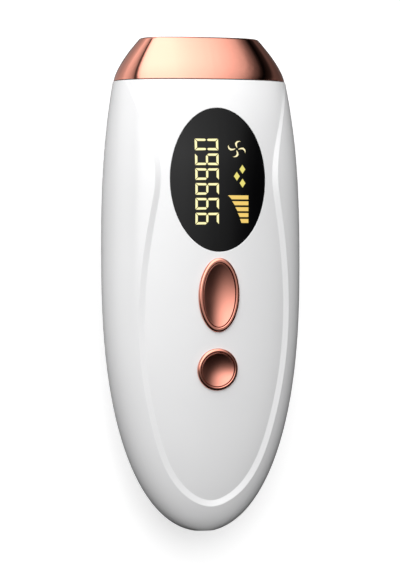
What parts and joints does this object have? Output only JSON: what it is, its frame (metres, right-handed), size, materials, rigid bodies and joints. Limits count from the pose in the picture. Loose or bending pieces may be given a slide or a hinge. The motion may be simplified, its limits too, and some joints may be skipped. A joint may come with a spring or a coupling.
{
  "type": "ipl hair remover",
  "caption": "Egg-shaped hand-held light-pulse hair remover with a plated lamp head, an oval display window, a fire key and a power key in raised rings.",
  "frame": {"origin": "under the middle of the tool's length and width, on the surface it lies on when it lies on its back", "axes": "+X to the user's right, +Y along the tool from the charging socket to the light window, +Z out of the front, where the display and keys are"},
  "size_m": [0.0766, 0.185, 0.0447],
  "materials": {
    "white_gloss": "high gloss, moulded",
    "rose_gold": "polished rose-gold plating",
    "smoked_window": "polished black",
    "display_glass": "clear",
    "white_moulding": "satin",
    "black_moulding": "satin",
    "grey_moulding": "satin",
    "red_moulding": "satin",
    "board_green": "solder mask",
    "chip_black": "matt",
    "ferrite": "matt",
    "winding_tape": "taped",
    "copper": "enamelled wire",
    "aluminium": "brushed",
    "polished_aluminium": "polished",
    "sleeved_can": "shrink sleeve",
    "steel": "bright",
    "contact_steel": "polished",
    "bronze": "sintered",
    "ribbon": "flat cable",
    "wire_red": "insulated",
    "wire_black": "insulated",
    "amber_filter": "coated",
    "quartz": "clear",
    "seal": "matt"
  },
  "bodies": {
    "casing": {"front_shell": "white_gloss", "rear_shell": "white_gloss", "display_lens": "smoked_window", "fire_button_ring": "rose_gold", "fire_switch_body": "black_moulding", "power_button_ring": "rose_gold", "power_switch_body": "black_moulding", "display_board": "board_green", "display_controller": "chip_black", "lcd_backlight": "white_moulding", "lcd_glass": "display_glass", "main_board": "board_green", "transformer_core": "ferrite", "transformer_winding": "winding_tape", "trigger_coil": "red_moulding", "heat_sink": "aluminium", "power_transistor": "chip_black", "filter_capacitors": "sleeved_can", "board_connectors": "white_moulding", "ribbon_cable": "ribbon", "flash_capacitor": "sleeved_can", "capacitor_leads": "wire_red", "fan_frame": "black_moulding", "fan_bearing": "bronze", "fan_coil": "copper", "fan_leads": "wire_black", "fan_screws": "steel", "head_shroud": "rose_gold", "window_bezel": "white_moulding", "skin_contacts": "contact_steel", "filter_gasket": "seal", "filter_glass": "amber_filter", "reflector": "polished_aluminium", "flash_tube": "quartz", "tube_electrodes": "steel", "tube_holders": "seal", "trigger_wire": "steel", "lamp_carrier": "grey_moulding", "dc_socket_body": "black_moulding", "dc_socket_pin": "contact_steel", "dc_socket_terminals": "steel", "charge_leads": "wire_black", "lamp_leads": "wire_red", "shell_screws": "steel", "board_screws": "steel"},
    "fire_key": {"fire_button_cap": "rose_gold", "fire_switch_plunger": "white_moulding"},
    "power_key": {"power_button_cap": "rose_gold", "power_switch_plunger": "white_moulding"},
    "fan": {"fan_rotor": "black_moulding", "fan_shaft": "steel"}
  },
  "joints": [
    {"name": "fire_press", "type": "slide", "parent": "casing", "child": "fire_key", "axis": [0, 0.0655, -0.9978], "range_m": [0, 0.0005], "stiffness_N_per_m": 3000, "springref_m": -0.0002},
    {"name": "power_press", "type": "slide", "parent": "casing", "child": "power_key", "axis": [0, 0.1013, -0.9949], "range_m": [0, 0.0005], "stiffness_N_per_m": 3000, "springref_m": -0.0002},
    {"name": "fan_spin", "type": "hinge", "parent": "casing", "child": "fan", "pos_m": [0, 0.0415, 0.0112], "axis": [0, 0, 1], "continuous": true}
  ]
}
